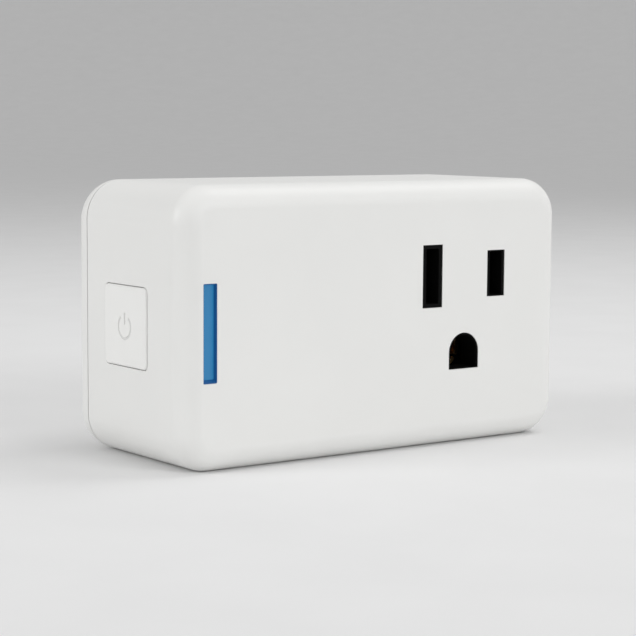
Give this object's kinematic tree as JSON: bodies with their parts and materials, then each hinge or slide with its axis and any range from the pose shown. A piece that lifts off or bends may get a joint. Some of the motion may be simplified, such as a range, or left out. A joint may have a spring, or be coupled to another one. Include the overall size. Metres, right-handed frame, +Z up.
{
  "type": "smart plug",
  "caption": "Rounded white plug-in smart switch with a grounded socket in front, a grounded plug behind, a blue light bar and a side push button.",
  "frame": {"origin": "middle of the flat rear face, on the wall plane", "axes": "+Y into the wall along the prongs, +Z up, +X towards the socket end; the button end is at -X"},
  "size_m": [0.0714, 0.0537, 0.0408],
  "materials": {
    "white_plastic": "satin-gloss moulded polycarbonate",
    "button_plastic": "satin-gloss moulded polycarbonate",
    "light_blue": "translucent, lit blue",
    "dark_plastic": "moulded thermoset",
    "brass_contact": "stamped",
    "nickel_brass": "nickel plated, satin",
    "retainer_plastic": "moulded nylon",
    "board_green": "solder mask on glass laminate",
    "board_black": "solder mask on glass laminate",
    "zinc_steel": "zinc plated",
    "gold_pins": "gold flashed",
    "led_white": "moulded package",
    "switch_plastic": "moulded",
    "tin_shield": "tin plated sheet",
    "relay_blue": "moulded, slightly glossy",
    "ivory_plastic": "moulded",
    "copper_wire": "enamelled wire",
    "spring_copper": "rolled copper alloy",
    "ferrite": "sintered",
    "yellow_tape": "polyester tape over copper",
    "capacitor_sleeve": "shrunk sleeve over aluminium",
    "varistor_coat": "dipped epoxy",
    "fuse_ceramic": "ceramic tube with metal caps",
    "chip_black": "moulded epoxy",
    "smd_tan": "ceramic chips"
  },
  "bodies": {
    "case": {"front_housing": "white_plastic", "rear_cover": "white_plastic", "light_pipe": "light_blue", "contact_carrier": "dark_plastic", "carrier_lid": "dark_plastic", "board_header": "dark_plastic", "switch_body": "dark_plastic", "relay_base": "dark_plastic", "neutral_contact": "brass_contact", "hot_contact": "brass_contact", "ground_contact": "brass_contact", "ground_strap": "brass_contact", "neutral_blade": "nickel_brass", "hot_blade": "nickel_brass", "ground_pin": "nickel_brass", "prong_retainer": "retainer_plastic", "main_board": "board_green", "control_board": "board_green", "wifi_board": "board_black", "board_screws": "zinc_steel", "switch_dome": "zinc_steel", "relay_yoke": "zinc_steel", "relay_core": "zinc_steel", "header_pins": "gold_pins", "wifi_antenna": "gold_pins", "status_leds": "led_white", "wifi_shield": "tin_shield", "relay_case": "relay_blue", "relay_bobbin": "ivory_plastic", "transformer_bobbin": "ivory_plastic", "relay_winding": "copper_wire", "fixed_contact": "spring_copper", "transformer_core": "ferrite", "transformer_winding": "yellow_tape", "bulk_capacitors": "capacitor_sleeve", "output_capacitor": "capacitor_sleeve", "varistor": "varistor_coat", "fuse": "fuse_ceramic", "bridge_rectifier": "chip_black", "converter_chip": "chip_black", "smd_parts": "smd_tan"},
    "button": {"button_cap": "button_plastic", "switch_plunger": "switch_plastic"},
    "armature": {"relay_armature": "zinc_steel", "contact_spring": "spring_copper"}
  },
  "joints": [
    {"name": "button_press", "type": "slide", "parent": "case", "child": "button", "axis": [1, 0, 0], "range_m": [0, 0.0005], "stiffness_N_per_m": 1500, "springref_m": -0.0002},
    {"name": "relay_pull_in", "type": "hinge", "parent": "case", "child": "armature", "pos_m": [-0.0117, -0.0219, 0.0104], "axis": [0, 0, 1], "range_deg": [0, 3], "stiffness_Nm_per_rad": 0.02, "springref_deg": -1.15}
  ]
}
